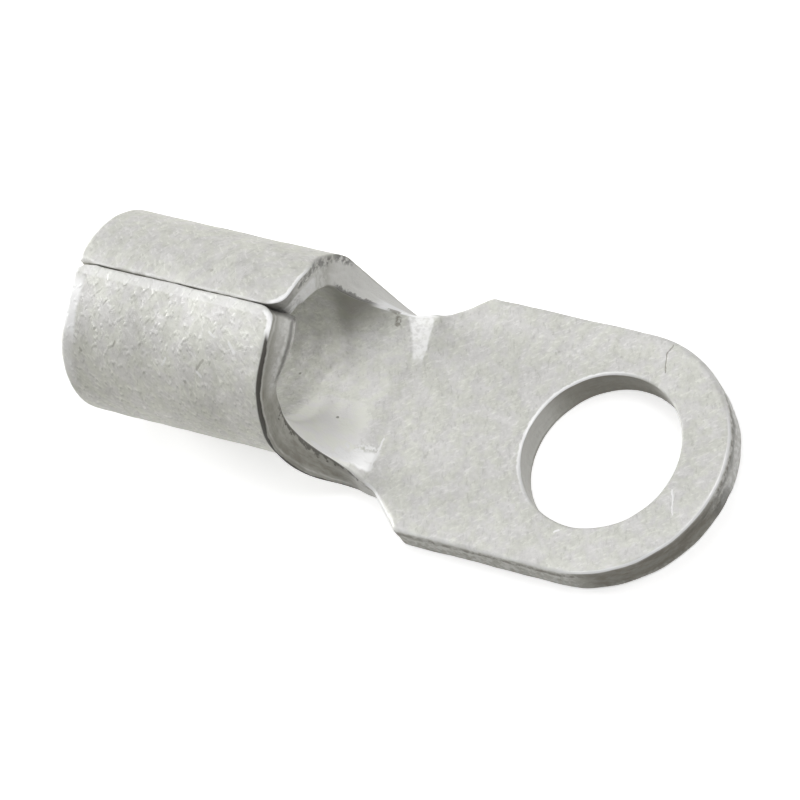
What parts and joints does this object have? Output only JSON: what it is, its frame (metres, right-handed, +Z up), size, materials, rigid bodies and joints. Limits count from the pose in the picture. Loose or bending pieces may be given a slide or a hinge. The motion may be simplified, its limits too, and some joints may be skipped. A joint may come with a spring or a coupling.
{
  "type": "ring terminal",
  "caption": "Bare crimp ring terminal: flat ring tongue with a stud hole, shoulders, a short open neck and a rolled wire barrel with a butted seam.",
  "frame": {"origin": "centre of the stud hole, on the flat underside of the tongue", "axes": "+X from the wire barrel to the ring's tip, +Y across the tongue, +Z up out of the tongue's top face, on the side of the barrel's seam"},
  "size_m": [0.0259, 0.0102, 0.0079],
  "materials": {
    "tin_plate": "matt tin plate on copper"
  },
  "bodies": {
    "root": {"ring_terminal": "tin_plate"}
  },
  "joints": []
}
